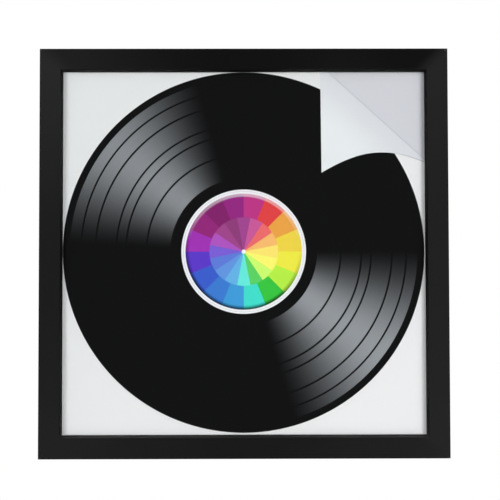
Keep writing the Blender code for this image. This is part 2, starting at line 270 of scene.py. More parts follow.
grainEffect = {
    "broadNoise": (22.0, 4.0, 0.6),
    "fineNoise": (2.0, 0.5),  # at the material's own scale
    "fineShare": 0.35,
    "ramp": (0.32, 0.68),
}
fibreEffect = {
    "driftScale": 90.0,
    "driftDetail": 2.0,
    "drift": 0.006,
    "strands": ((0.4, 6.0), (1.5, 5.0), (2.6, 7.0)),  # which way each lies and how far it is drawn out
    "strandNoise": (3.0, 0.6),  # at the material's own scale
    "cloudNoise": (30.0, 3.0, 0.5),
    "cloudShare": 0.15,
    "ramp": (0.42, 0.62),
}
platingEffect = {
    "cloudNoise": (160.0, 5.0, 0.65),
    "scratchNoise": (260.0, 2.0, 0.5),
    "scratchTurn": 0.4,
    "scratchStretch": 18,
    "scratchHeight": 0.6,
    "crystalTone": 0.22,
    "tarnishRamp": (0.45, 0.75, 0.0, 0.6),
    "roughRamp": (0.3, 0.75, 0.24, 0.46),
}


def makeGrainGroup():
    group, given, wanted = newGroup(
        "fineGrain",
        {"Place": "Vector", "Scale": "Float", "Smoothest": "Float", "Roughest": "Float"},
        {"Roughness": "Float", "Height": "Float"},
    )
    broad = noise(group, given["Place"], *grainEffect["broadNoise"])
    fine = noise(group, given["Place"], given["Scale"], *grainEffect["fineNoise"])
    both = blended(group, fine, broad, grainEffect["fineShare"])
    rough = ramped(group, both, *grainEffect["ramp"], given["Smoothest"], given["Roughest"])
    plug(group, wanted, {"Roughness": rough, "Height": fine})
    return group


def makeFibreGroup():
    group, given, wanted = newGroup(
        "fibre",
        {"Place": "Vector", "Colour": "Color", "Fibre Colour": "Color",
         "Amount": "Float", "Scale": "Float"},
        {"Colour": "Color", "Height": "Float"},
    )
    place = given["Place"]
    # strands lie three ways, each a noise drawn out along its own direction, and all of them wander
    inputs = {"Vector": place, "Scale": fibreEffect["driftScale"], "Detail": fibreEffect["driftDetail"]}
    drift = addNode(group, "TexNoise", inputs).outputs["Color"]
    inputs = {0: drift, 3: fibreEffect["drift"]}
    wander = addNode(group, "VectorMath", inputs, operation="SCALE").outputs[0]
    bent = addNode(group, "VectorMath", {0: place, 1: wander}, operation="ADD").outputs[0]
    strand = 0.0
    for turn, stretch in fibreEffect["strands"]:
        inputs = {"Vector": bent, "Rotation": (0, turn, 0), "Scale": (1 / stretch, 1, 1)}
        turned = addNode(group, "Mapping", inputs, vector_type="TEXTURE").outputs[0]
        one = noise(group, turned, given["Scale"], *fibreEffect["strandNoise"])
        strand = maths(group, "MAXIMUM", one, strand)
    cloud = noise(group, place, *fibreEffect["cloudNoise"])
    height = blended(group, cloud, strand, fibreEffect["cloudShare"])
    shown = times(group, ramped(group, height, *fibreEffect["ramp"]), given["Amount"])
    colour = mixed(group, shown, given["Colour"], given["Fibre Colour"])
    plug(group, wanted, {"Colour": colour, "Height": height})
    return group


def makePlatingGroup():
    group, given, wanted = newGroup(
        "plating",
        {"Place": "Vector", "Colour": "Color", "Tarnish": "Color", "Spangle": "Float"},
        {"Colour": "Color", "Roughness": "Float", "Height": "Float"},
    )
    place = given["Place"]
    crystals = addNode(group, "TexVoronoi", {"Vector": place, "Scale": given["Spangle"]})
    tone = addNode(group, "SeparateColor", {"Color": crystals.outputs["Color"]}).outputs[0]
    clouds = noise(group, place, *platingEffect["cloudNoise"])
    scratched = addNode(group, "Mapping", {
        "Vector": place,
        "Rotation": (0, platingEffect["scratchTurn"], 0),
        "Scale": (1, 1, platingEffect["scratchStretch"]),
    }).outputs[0]
    scratches = noise(group, scratched, *platingEffect["scratchNoise"])
    tarnished = ramped(group, clouds, *platingEffect["tarnishRamp"])
    dulled = maths(group, "MULTIPLY_ADD", tone, platingEffect["crystalTone"], tarnished)
    plug(group, wanted, {
        "Colour": mixed(group, dulled, given["Colour"], given["Tarnish"]),
        "Roughness": ramped(group, clouds, *platingEffect["roughRamp"]),
        "Height": maths(group, "MULTIPLY_ADD", scratches, platingEffect["scratchHeight"], tone),
    })
    return group


fineGrain = makeGrainGroup()
fibre = makeFibreGroup()
plating = makePlatingGroup()


def grained(tree, place, look):
    return useGroup(tree, fineGrain, {
        "Place": place, "Scale": look["grainScale"],
        "Smoothest": look["smoothest"], "Roughest": look["roughest"],
    })


# Materials

paintLook = {
    "black": shade(12, 12, 12),
    "uprightSheenBlack": shade(17, 17, 17),  # painted sheen: the uprights' black is lighter, as if they caught more of the light
    # dust, which also serves as painted sheen, lighter at the corners than along the top rail
    "dusty": shade(26, 26, 26),
    # wear at the arrises, and the tone of the painted sheen on the uprights
    "wearAndSheen": shade(46, 46, 47),
    "paintedSheen": (0.26, 0.1),  # how much painted sheen lightens the left upright's upper end, and all of the right one
    "inside": shade(26, 26, 26),  # the sight edge's wall, painted a lighter tone than the face for the light it catches
    "litLedge": shade(60, 60, 58),  # painted light, in patches, on the wall that faces up
    "smoothest": 0.52,
    "roughest": 0.66,
    "insideRoughness": 0.85,
    "specular": 0.2,
    "grainScale": 1500.0,
    "grainDepth": 0.012 * millimetre,
    "rubWidth": 0.7 * millimetre,
    "rubPatches": ((45.0, 4.0, 0.6), (0.5, 0.72)),
    "cloudPatches": ((9.0, 3.0, 0.55), (0.3, 0.6, 0.75, 1.0)),
    "cornerBlend": (-14 * millimetre, 6 * millimetre),  # the uprights' tone fades out past the mitre
    "wallReach": (0.8 * millimetre, 0.3 * millimetre),  # how near the sight's edge the wall begins
    "wallDepth": (0.2 * millimetre, 0.6 * millimetre),  # how deep below the face
    "litLedgePatches": ((25.0, 4.0, 0.6), (0.3, 0.6, 0.5, 1.0)),
}
# where the dust and painted sheen, the painted shade, the painted sheen on the uprights and the painted
# light on the ledge begin and end, as shares of half the sight
paintShares = {
    "corner": (0.2, 1.0),
    "offTop": (0.7, 0.0),
    "shadedTopRight": (1.3, 1.85),
    "paintedSheen": (0.1, 1.0),
    "litLedge": (-0.98, -0.995),
}


def ofSight(name):
    return [share * halfSight for share in paintShares[name]]


def makeSatinBlack():
    material, tree, shader, place = newMaterial("satin_black_paint")
    grain = grained(tree, place, paintLook)
    right, deep, up = offsets(tree, place, frameCentre)
    sideways = maths(tree, "ABSOLUTE", right)
    upwards = maths(tree, "ABSOLUTE", up)
    across = maths(tree, "MAXIMUM", sideways, upwards)
    toSight = awayFrom(tree, across, halfSight)
    toArris = maths(tree, "ADD", awayFrom(tree, across, halfOutside), maths(tree, "ABSOLUTE", deep))
    nearArris = ramped(tree, toArris, paintLook["rubWidth"], 0.0)
    rub = times(tree, nearArris, patchy(tree, place, paintLook["rubPatches"]))
    # dust and painted sheen: most at the corners, least along the top rail, which stays darker
    inCorner = ramped(tree, maths(tree, "MINIMUM", sideways, upwards), *ofSight("corner"))
    offTop = ramped(tree, maths(tree, "SUBTRACT", up, sideways), *ofSight("offTop"))
    dustAndSheenAmount = blended(tree, inCorner, offTop, 0.5)
    pastMitre = maths(tree, "SUBTRACT", sideways, upwards)
    upright = ramped(tree, pastMitre, *paintLook["cornerBlend"], kind="SMOOTHSTEP")
    # painted shade: the top rail is darker towards its right end
    toTopRight = ramped(tree, maths(tree, "ADD", right, up), *ofSight("shadedTopRight"))
    shadedTopRight = times(tree, toTopRight, inverted(tree, upright))
    dustAndSheenAmount = times(tree, dustAndSheenAmount, inverted(tree, shadedTopRight))
    cloudy = patchy(tree, place, paintLook["cloudPatches"])
    paint = mixed(tree, upright, paintLook["black"], paintLook["uprightSheenBlack"])
    dustAndSheenPaint = mixed(tree, times(tree, dustAndSheenAmount, cloudy), paint, paintLook["dusty"])
    # painted sheen: the left upright's upper end and all of the right one are lighter
    leftUpper, wholeRight = paintLook["paintedSheen"]
    onRight = maths(tree, "GREATER_THAN", right, 0)
    leftSheen = ramped(tree, up, *ofSight("paintedSheen"), 0.0, leftUpper)
    onLeft = times(tree, leftSheen, inverted(tree, onRight))
    paintedSheen = times(tree, maths(tree, "MULTIPLY_ADD", onRight, wholeRight, onLeft), upright)
    dustAndSheenPaint = mixed(tree, paintedSheen, dustAndSheenPaint, paintLook["wearAndSheen"])
    outside = mixed(tree, rub, dustAndSheenPaint, paintLook["wearAndSheen"])
    # the wall behind the sight's edge, with painted light on the one that faces up
    nearSight = ramped(tree, toSight, *paintLook["wallReach"])
    inside = times(tree, nearSight, ramped(tree, deep, *paintLook["wallDepth"]))
    ledgeLightPatches = patchy(tree, place, paintLook["litLedgePatches"])
    ledgeLight = times(tree, ramped(tree, up, *ofSight("litLedge")), ledgeLightPatches)
    wall = mixed(tree, ledgeLight, paintLook["inside"], paintLook["litLedge"])
    rough = {0: inside, 2: grain["Roughness"], 3: paintLook["insideRoughness"]}
    plug(tree, shader, {
        "Base Color": mixed(tree, inside, outside, wall),
        "Roughness": addNode(tree, "Mix", rough).outputs[0],
        "Normal": bump(tree, grain["Height"], paintLook["grainDepth"]),
        "Specular IOR Level": paintLook["specular"],
    })
    return material


glassLook = {
    "tint": shade(252, 253, 253),
    "index": 1.5,
    "smears": ((14.0, 4.0, 0.6), (0.45, 0.8, 0.0, 0.02)),
    "passed": (0.955, 0.96, 0.96, 1),  # what the pane lets through of a lamp's light
}


def makeGlass():
    material, tree, shader, place = newMaterial("clear_glass")
    plug(tree, shader, {
        "Transmission Weight": 1.0,
        "IOR": glassLook["index"],
        "Base Color": glassLook["tint"],
        "Roughness": patchy(tree, place, glassLook["smears"]),
    })
    # lamps reach the print through the pane
    path = addNode(tree, "LightPath").outputs["Is Shadow Ray"]
    clear = addNode(tree, "BsdfTransparent", {"Color": glassLook["passed"]}).outputs[0]
    mixSurfaces(tree, path, shader.outputs[0], clear)
    return material


recordPrint = {
    "centre": frameCentre + Vector((-0.35 * millimetre, 0, 0.7 * millimetre)),
    "radius": 152.6 * millimetre,
    "heightShare": 0.9965,  # the record is drawn a trace less high than wide
    # widths and places across the disc are shares of its radius
    "softEdge": 0.0012,
    "spindleShare": 0.0115,
    "tintRingShare": 0.19,
    "labelShare": 0.322,
    "labelRingShare": 0.3447,
    "ringLine": (0.334, 0.004),  # its place and width
    "runOutShare": 0.406,
    "rimShare": 0.962,
    "trackGapShares": (0.537, 0.651, 0.705, 0.82, 0.8995),
    "trackGapWidthShare": 0.0092,
    "sheens": ((141, 0.48, 45), (-36.5, 0.522, 46)),  # each fan's angle, brightness and half spread
    "sheenKnee": -0.12,  # a fan falls towards this and stops at nothing, so it ends more sharply
    "streaks": 210.0,
    "streakRamp": (0.3, 0.7, 0.955, 1.03),
    "blackTone": 0.088,
    "gamma": 2.2,
    "vinylTint": (0.955, 1.0, 1.055, 1),
    "sectors": 16,
    "firstHue": 0.108,
    "hueDrift": (0.13, 17),  # holds the hues back, least at this angle
    "huePause": (0.048, 138, 3),  # how much the wheel lingers, first at what angle, and how often
    "brightSide": (-15, 0.87, 0.08),  # its angle, the middle value and the swing
    "deepSide": (108, 75, 0.3),  # its angle, half spread and how much darker
    "deepGreen": (0.37, 0.13, 0.16),  # hue, reach and how much darker
    "saturations": (0.68, 0.54),  # outer ring, inner disc
    "innerLift": 0.05,  # how much lighter the inner disc is
    # the label's edge is drawn as if it were rounded, lit above and dark below: each tone, how far its
    # side is turned, how far in it begins and is full, and how much of it there is at what height
    "labelRounding": (
        ((1, 1, 1, 1), 0, (0.02, 0.012), (0.2, 1.0, 0.0, 0.4)),
        ((0, 0, 0, 1), 15, (0.024, 0.006), (0.3, -0.7, 0.0, 0.86)),
    ),
}
paperLook = {
    "white": shade(245, 243, 244),
    "whiteShadedCorner": shade(234, 235, 235),  # painted shade: the sheet darkens a little towards its upper left corner
    "labelWhite": shade(246, 246, 248),
    "ringLine": shade(228, 227, 234),
    "backNearTip": shade(237, 240, 241),
    "foldShadeReach": 37 * millimetre,
    "backShadedAtFold": shade(223, 224, 229),
    "foldLineShade": shade(198, 200, 206),
    "foldLineWidth": 1.2 * millimetre,
    "edgeShadow": shade(172, 174, 180),
    "edgeShadowShares": (0.78, 0.86),  # where the painted shadow line along the free edge begins and is full, in halves of the sheet
    "fibre": shade(226, 227, 228),
    "fibreAmount": 0.18,
    "fibreScale": 420.0,
    "fibreDepth": 0.004 * millimetre,
    "roughRamp": (0.3, 0.7, 0.42, 0.52),
    "specular": 0.12,
}


def within(tree, share, edge):
    soft = recordPrint["softEdge"]
    return ramped(tree, share, edge + soft, edge - soft)


def addSheen(tree, angle):
    # two opposite fans of light, as a groove's flanks send back
    knee = recordPrint["sheenKnee"]
    total = 0.0
    for degrees, strength, spread in recordPrint["sheens"]:
        away = maths(tree, "ARCCOSINE", facing(tree, angle, degrees))
        fan = ramped(tree, away, math.radians(spread), 0.0, knee, 1.0, "SMOOTHSTEP")
        total = maths(tree, "MULTIPLY_ADD", maths(tree, "MAXIMUM", fan, 0.0), strength, total)
    return total


def addVinyl(tree, share, angle):
    gaps = 0.0
    for gap in recordPrint["trackGapShares"]:
        line = within(tree, awayFrom(tree, share, gap), recordPrint["trackGapWidthShare"] / 2)
        gaps = maths(tree, "MAXIMUM", line, gaps)
    pastRunOut = inverted(tree, within(tree, share, recordPrint["runOutShare"]))
    pressed = times(tree, within(tree, share, recordPrint["rimShare"]), pastRunOut)
    grooved = times(tree, pressed, inverted(tree, gaps))
    inputs = {"W": times(tree, share, recordPrint["streaks"]), "Scale": 1.0}
    rings = addNode(tree, "TexNoise", inputs, noise_dimensions="1D").outputs[0]
    streaks = ramped(tree, rings, *recordPrint["streakRamp"])
    sheen = times(tree, times(tree, addSheen(tree, angle), streaks), grooved)
    toned = maths(tree, "ADD", sheen, recordPrint["blackTone"])
    tone = maths(tree, "POWER", toned, recordPrint["gamma"])
    grey = addNode(tree, "CombineColor", {0: tone, 1: tone, 2: tone}).outputs[0]
    return mixed(tree, 1.0, grey, recordPrint["vinylTint"], "MULTIPLY")


def addLabel(tree, share, angle):
    # a painter's colour wheel of equal sectors, with a paler disc inside, turned by half a sector
    turns = maths(tree, "DIVIDE", angle, 2 * math.pi)
    inner = within(tree, share, recordPrint["tintRingShare"])
    sectors = recordPrint["sectors"]
    shifted = maths(tree, "MULTIPLY_ADD", inner, 0.5, times(tree, turns, sectors))
    step = maths(tree, "DIVIDE", maths(tree, "FLOOR", shifted), sectors)
    middle = times(tree, step, 2 * math.pi)
    reach, least = recordPrint["hueDrift"]
    held = ramped(tree, facing(tree, middle, least), 1.0, -1.0, 0.0, reach)
    eased = maths(tree, "SUBTRACT", step, held)
    reach, still, pauses = recordPrint["huePause"]
    paused = times(tree, maths(tree, "SUBTRACT", middle, math.radians(still)), pauses)
    eased = maths(tree, "MULTIPLY_ADD", maths(tree, "COSINE", paused), -reach, eased)
    hue = maths(tree, "FRACT", maths(tree, "SUBTRACT", recordPrint["firstHue"] + 1, eased))
    side, level, swing = recordPrint["brightSide"]
    value = maths(tree, "MULTIPLY_ADD", facing(tree, middle, side), swing, level)
    side, spread, deeper = recordPrint["deepSide"]
    fromDeep = maths(tree, "ARCCOSINE", facing(tree, middle, side))
    dip = ramped(tree, fromDeep, math.radians(spread), 0.0, 0.0, deeper, "SMOOTHSTEP")
    value = maths(tree, "SUBTRACT", value, dip)
    green, reach, deeper = recordPrint["deepGreen"]
    dip = ramped(tree, awayFrom(tree, hue, green), reach, 0.0, 0.0, deeper, "SMOOTHSTEP")
    value = maths(tree, "SUBTRACT", value, dip)
    value = maths(tree, "MULTIPLY_ADD", inner, recordPrint["innerLift"], value)
    saturation = ramped(tree, inner, 0.0, 1.0, *recordPrint["saturations"])
    colour = addNode(tree, "CombineColor", {0: hue, 1: saturation, 2: value}, mode="HSV").outputs[0]
    colour = addNode(tree, "Gamma", {"Color": colour, "Gamma": recordPrint["gamma"]}).outputs[0]
    for tone, turn, insets, ramp in recordPrint["labelRounding"]:
        nearEdge = ramped(tree, share, *(recordPrint["labelShare"] - inset for inset in insets))
        height = maths(tree, "SINE", maths(tree, "ADD", angle, math.radians(turn)))
        colour = mixed(tree, times(tree, nearEdge, ramped(tree, height, *ramp)), colour, tone)
    return colour


def makePrintedPaper():
    material, tree, shader, place = newMaterial("printed_paper")
    right, deep, up = offsets(tree, place, recordPrint["centre"])
    taller = maths(tree, "DIVIDE", up, recordPrint["heightShare"])
    flat = addNode(tree, "CombineXYZ", {0: right, 2: taller}).outputs[0]
    radius = addNode(tree, "VectorMath", {0: flat}, operation="LENGTH").outputs["Value"]
    share = maths(tree, "DIVIDE", radius, recordPrint["radius"])
    angle = maths(tree, "ARCTAN2", up, right)
    acrossSheet = maths(tree, "SUBTRACT", right, up)
    toShadedCorner = ramped(tree, acrossSheet, 2 * halfSheet, -2 * halfSheet)
    white = useGroup(tree, fibre, {
        "Place": place,
        "Colour": mixed(tree, toShadedCorner, paperLook["white"], paperLook["whiteShadedCorner"]),
        "Fibre Colour": paperLook["fibre"],
        "Amount": paperLook["fibreAmount"],
        "Scale": paperLook["fibreScale"],
    })
    # what is printed, each over the one before
    linePlace, lineWidth = recordPrint["ringLine"]
    layers = (
        (within(tree, share, 1.0), addVinyl(tree, share, angle)),
        (within(tree, share, recordPrint["labelRingShare"]), paperLook["labelWhite"]),
        (within(tree, awayFrom(tree, share, linePlace), lineWidth / 2), paperLook["ringLine"]),
        (within(tree, share, recordPrint["labelShare"]), addLabel(tree, share, angle)),
        (within(tree, share, recordPrint["spindleShare"]), paperLook["labelWhite"]),
    )
    front = white["Colour"]
    for mask, colour in layers:
        front = mixed(tree, mask, front, colour)
    # the back is bare, with painted shade darkening it towards the fold where it is turned over
    along = maths(tree, "MULTIPLY_ADD", right, foldNormal.x, times(tree, up, foldNormal.z))
    foldShadeStart = foldDistance - paperLook["foldShadeReach"]
    foldShade = ramped(tree, along, foldShadeStart, foldDistance, kind="SMOOTHSTEP")
    back = mixed(tree, foldShade, paperLook["backNearTip"], paperLook["backShadedAtFold"])
    # painted shade: a darker line along the fold
    onFoldLine = ramped(tree, along, foldDistance - paperLook["foldLineWidth"], foldDistance)
    back = mixed(tree, onFoldLine, back, paperLook["foldLineShade"])
    # painted shadow: where the free edge nears the fold it stands off the sheet, and a grey line is
    # painted along it
    atFreeEdge = addNode(tree, "Attribute", attribute_name="freeEdge").outputs["Fac"]
    nearFold = ramped(tree, right, *(part * halfSheet for part in paperLook["edgeShadowShares"]))
    back = mixed(tree, times(tree, atFreeEdge, nearFold), back, paperLook["edgeShadow"])
    # only the front face is printed
    depth = awayFrom(tree, deep, sheetFront - recordPrint["centre"].y)
    printed = maths(tree, "LESS_THAN", depth, foldedSheet["thickness"] / 4)
    plug(tree, shader, {
        "Base Color": mixed(tree, printed, back, front),
        "Roughness": ramped(tree, white["Height"], *paperLook["roughRamp"]),
        "Normal": bump(tree, white["Height"], paperLook["fibreDepth"]),
        "Specular IOR Level": paperLook["specular"],
    })
    return material


cardLooks = {
    "plain_card": {
        "material": "plain_card_stock", "colour": shade(217, 217, 223), "fibre": shade(207, 208, 213),
        "amount": 0.22, "scale": 380.0, "depth": 0.004 * millimetre,
    },
    "filler_card": {
        "material": "corrugated_kraft", "colour": shade(178, 142, 100), "fibre": shade(150, 114, 76),
        "amount": 0.6, "scale": 260.0, "depth": 0.02 * millimetre,
    },
    "backing_board": {
        "material": "hardboard_face", "colour": shade(134, 95, 62), "fibre": shade(97, 65, 41),
        "amount": 0.7, "scale": 240.0, "depth": 0.03 * millimetre,
    },
}
cardSurface = {"roughRamp": (0.3, 0.7, 0.62, 0.85), "specular": 0.25}


def makeCard(look):
    material, tree, shader, place = newMaterial(look["material"])
    pulp = useGroup(tree, fibre, {
        "Place": place, "Colour": look["colour"], "Fibre Colour": look["fibre"],
        "Amount": look["amount"], "Scale": look["scale"],
    })
    plug(tree, shader, {
        "Base Color": pulp["Colour"],
        "Roughness": ramped(tree, pulp["Height"], *cardSurface["roughRamp"]),
        "Normal": bump(tree, pulp["Height"], look["depth"]),
        "Specular IOR Level": cardSurface["specular"],
    })
    return material


platingLooks = {
    "zinc_plated_steel": {
        "colour": shade(196, 199, 204), "tarnish": shade(150, 156, 166), "spangle": 420.0},
    "brass_plated_steel": {
        "colour": shade(214, 178, 104), "tarnish": shade(164, 124, 66), "spangle": 600.0},
}
platingDepth = 0.004 * millimetre


def makePlated(name):
    material, tree, shader, place = newMaterial(name)
    look = platingLooks[name]
    coat = useGroup(tree, plating, {
        "Place": place, "Colour": look["colour"], "Tarnish": look["tarnish"], "Spangle": look["spangle"],
    })
    plug(tree, shader, {
        "Metallic": 1.0,
        "Base Color": coat["Colour"],
        "Roughness": coat["Roughness"],
        "Normal": bump(tree, coat["Height"], platingDepth),
    })
    return material


rubberLook = {
    "colour": shade(38, 38, 39),
    "dust": shade(62, 61, 59),
    "dustPatches": ((300.0, 4.0, 0.6), (0.45, 0.75)),
    "smoothest": 0.62,
    "roughest": 0.85,
    "grainScale": 2400.0,
    "grainDepth": 0.02 * millimetre,
}


def makeRubber():
    material, tree, shader, place = newMaterial("moulded_rubber")
    grain = grained(tree, place, rubberLook)
    dusty = patchy(tree, place, rubberLook["dustPatches"])
    plug(tree, shader, {
        "Base Color": mixed(tree, dusty, rubberLook["colour"], rubberLook["dust"]),
        "Roughness": grain["Roughness"],
        "Normal": bump(tree, grain["Height"], rubberLook["grainDepth"]),
    })
    return material


# The printed sheet, with its top right corner turned over to the front

foldedSheet = {
    "thickness": 0.4 * millimetre,
    "foldAlongTop": 94 * millimetre,
    "foldDownSide": 85.6 * millimetre,
    "tipAcross": 93.2 * millimetre,
    "tipDown": 91.5 * millimetre,
    "tipHandle": (44 * millimetre, 31),  # reach and direction in degrees
    "endHandle": (36 * millimetre, 155),
    "bendSteps": 12,
    "columns": 48,
    "cutBand": 0.9 * millimetre,
    "onFold": 0.01 * millimetre,  # a point this near counts as on the fold
    "weld": 0.02 * millimetre,
    "onEdge": 0.03 * millimetre,  # and this near as on the free edge
    "sharpAngle": 35,
}
sheetBack = sheetHigh.y
sheetFront = sheetBack - foldedSheet["thickness"]
foldTop = Vector((halfSheet - foldedSheet["foldAlongTop"], 0, halfSheet))
foldSide = Vector((halfSheet, 0, halfSheet - foldedSheet["foldDownSide"]))
foldAxis = (foldSide - foldTop).normalized()
foldNormal = Vector((-foldAxis.z, 0, foldAxis.x))  # points off the sheet
foldDistance = foldTop.dot(foldNormal)


def towards(start, handle):
    reach, degrees = handle
    angle = math.radians(degrees)
    return start + Vector((math.cos(angle), 0, math.sin(angle))) * reach


def flapEdge(left, right):
    # the turned corner's free edge: from its tip in a long sweep back to the fold's lower end
    tip = Vector((halfSheet - foldedSheet["tipAcross"], left.y, halfSheet - foldedSheet["tipDown"]))
    return geometry.interpolate_bezier(
        tip, towards(tip, foldedSheet["tipHandle"]), towards(right, foldedSheet["endHandle"]), right,
        foldedSheet["columns"] + 1,
    )


def selectedAcross(shape):
    # the selected points, from left to right
    return sorted((vert for vert in shape.verts if vert.select), key=lambda vert: vert.co.x)


def modelPrintedSheet():
    print("printed sheet")
    thickness = foldedSheet["thickness"]
    middle = (sheetFront + sheetBack) / 2
    bendRadius = (sheetHigh.y - sheetLow.y - thickness) / 2
    sheet = newPiece(
        "folded_print", bpy.ops.mesh.primitive_plane_add, size=2 * halfSheet,
        rotation=(math.pi / 2, 0, 0))
    startEditing(sheet)
    bpy.ops.mesh.bisect(plane_co=foldTop, plane_no=foldNormal, clear_outer=True)
    selectWhere(sheet, "EDGE", lambda edge: all(
        abs(vert.co.dot(foldNormal) - foldDistance) < foldedSheet["onFold"] for vert in edge.verts))
    bpy.ops.mesh.subdivide(number_cuts=foldedSheet["columns"] - 1)
    bendMiddle = foldTop - Vector((0, bendRadius, 0))
    bpy.ops.mesh.spin(
        steps=foldedSheet["bendSteps"], angle=math.pi, center=bendMiddle, axis=-foldAxis)
    # the bend's last edge is drawn out into the flap: almost to the free edge, then the band along it
    shape = bmesh.from_edit_mesh(sheet.data)
    folded = [vert.co.copy() for vert in selectedAcross(shape)]
    freeEdge = flapEdge(folded[0], folded[-1])
    bands = []
    for start, end in zip(folded, freeEdge):
        back = start - end
        bands.append(end + back.normalized() * min(foldedSheet["cutBand"], back.length / 2))
    for points in (bands, freeEdge):
        drawOut(0, 0, -millimetre)
        shape = bmesh.from_edit_mesh(sheet.data)
        for vert, point in zip(selectedAcross(shape), points):
            vert.co = point
        bmesh.update_edit_mesh(sheet.data)
    bpy.ops.mesh.select_all(action="SELECT")
    bpy.ops.mesh.remove_doubles(threshold=foldedSheet["weld"])
    stopEditing(faceOutwards=True)
    marks = sheet.data.attributes.new("freeEdge", "FLOAT", "POINT")
    for mark, vert in zip(marks.data, sheet.data.vertices):
        nearest = min((vert.co - point).length for point in freeEdge)
        mark.value = float(nearest < foldedSheet["onEdge"])
    card = sheet.modifiers.new("card", "SOLIDIFY")
    card.thickness = thickness
    card.offset = 0
    card.use_even_offset = True
    applyModifiers(sheet)
    sheet.data.transform(Matrix.Translation((0, middle, frameCentre.z)))
    smooth(sheet, foldedSheet["sharpAngle"])
    return sheet


# Pieces that keep the frame's own shapes, merged, eased and smoothed

keptShapes = {
    "railEase": 0.04 * millimetre,
    "mitreReach": 0.195 * millimetre,  # how far each end is drawn out over the solids' clearance
    "jointNailEase": 0.05 * millimetre,
    "hangerEase": 0.08 * millimetre,
    "easeSteps": 2,
    "sharpAngle": 40,
    "weld": 0.001 * millimetre,
    "flatAngle": 0.5,
}


def closeMitres(piece, alongX, reach):
    # the end cuts are drawn out until only a hairline parts the painted corners
    for vert in piece.data.vertices:
        across, up = vert.co.x, vert.co.z - frameCentre.z
        if abs(abs(across) - abs(up)) < 2 * reach:
            if alongX:
                vert.co.x += math.copysign(reach, across)
            else:
                vert.co.z += math.copysign(reach, up)


def dressedCopy(node, name, ease, mitreReach=0.0):
    piece = addObject(name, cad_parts[node].data.copy())
    piece.data.name = name
    piece.data.materials.clear()
    startEditing(piece)
    bpy.ops.mesh.remove_doubles(threshold=keptShapes["weld"])
    bpy.ops.mesh.dissolve_limited(angle_limit=math.radians(keptShapes["flatAngle"]))
    stopEditing()
    if mitreReach:
        closeMitres(piece, piece.dimensions.x > piece.dimensions.z, mitreReach)
    easeEdges(piece, ease, keptShapes)
    smooth(piece, keptShapes["sharpAngle"])
    return piece


# Small round pieces: a disc drawn up ring by ring along its axis, each ring a height and a radius

crossScrew = {
    "point": (-11 * millimetre, 0.1 * millimetre),
    "shank": (-8.5 * millimetre, 1.3 * millimetre),
    "headRadius": 3 * millimetre,
    "rimHeight": 0.5 * millimetre,
    "headHeight": 1.6 * millimetre,
    "recess": (3.5 * millimetre, 0.84 * millimetre),  # length and width at its mouth
    "recessFloor": 0.7 * millimetre,
    "recessTaper": 0.66,
    "ease": 0.05 * millimetre,
    "turnStep": 37,  # no two beside each other are driven home alike
}
roundNail = {
    "point": (-8 * millimetre, 0.05 * millimetre),
    "shank": (-6.5 * millimetre, 0.8 * millimetre),
    "headRadius": 2.1 * millimetre,
    "rimHeight": 0.3 * millimetre,
    "headHeight": 0.9 * millimetre,
    "ease": 0.06 * millimetre,
}
bumper = {
    "baseRadius": 4.8 * millimetre,
    "faceRadius": 3.5 * millimetre,
    "height": 3.4 * millimetre,
    "edgeRadius": 0.6 * millimetre,
    "lean": 11.6,
    "edgeSteps": 8,
    "ease": 0.08 * millimetre,
}
roundLook = {"sides": 56, "crownSteps": 9, "easeSteps": 2, "sharpAngle": 32}


def drawUp(name, rings):
    (height, radius), *others = rings
    piece = newPiece(
        name, bpy.ops.mesh.primitive_circle_add, vertices=roundLook["sides"], radius=radius,
        fill_type="NGON", location=(0, height, 0), rotation=(-math.pi / 2, 0, 0))
    startEditing(piece)
    for nextHeight, nextRadius in others:
        ratio = nextRadius / radius
        drawOut(0, nextHeight - height, 0)
        bpy.ops.transform.resize(value=(ratio, 1, ratio), center_override=(0, nextHeight, 0))
        height, radius = nextHeight, nextRadius
    stopEditing(faceOutwards=True)
    return piece


def crown(rim, low, high):
    # the rings of a shallow dome, from just inside its rim to a small flat on top
    reach = (rim ** 2 + (high - low) ** 2) / (2 * (high - low))
    steps = roundLook["crownSteps"]
    angles = [math.asin(rim / reach) * (1 - step / steps) for step in range(1, steps)]
    return [(high - reach * (1 - math.cos(angle)), reach * math.sin(angle)) for angle in angles]


def domedPin(name, look):
    rim, low, high = look["headRadius"], look["rimHeight"], look["headHeight"]
    shaft = [look["point"], look["shank"], (0, look["shank"][1])]
    return drawUp(name, [*shaft, (0, rim), (low, rim), *crown(rim, low, high)])


def easeRound(piece, look):
    easeEdges(piece, look["ease"], roundLook)
    mendCuts(piece)
    smooth(piece, roundLook["sharpAngle"])


def modelCrossScrew():
    print("cross screw")
    screw = domedPin("cross_screw", crossScrew)
    length, width = crossScrew["recess"]
    floor = crossScrew["recessFloor"]
    depth = crossScrew["headHeight"] - floor
    facingDown = -0.9  # how far a face's normal points down the axis
    for turn in (0, math.pi / 2):
        bar = newPiece(
            "recess_bar", bpy.ops.mesh.primitive_cube_add, size=1, scale=(length, depth, width),
            location=(0, floor + depth / 2, 0), rotation=(0, turn, 0))
        startEditing(bar)
        selectWhere(bar, "FACE", lambda face: face.normal.y < facingDown)
        narrow = crossScrew["recessTaper"]
        bpy.ops.transform.resize(value=(narrow, 1, narrow), center_override=(0, floor, 0))
        stopEditing()
        join(screw, bar, "DIFFERENCE")
        mendCuts(screw)
    easeRound(screw, crossScrew)
    return screw


def modelRoundNail():
    print("round nail")
    nail = domedPin("round_nail", roundNail)
    easeRound(nail, roundNail)
    return nail


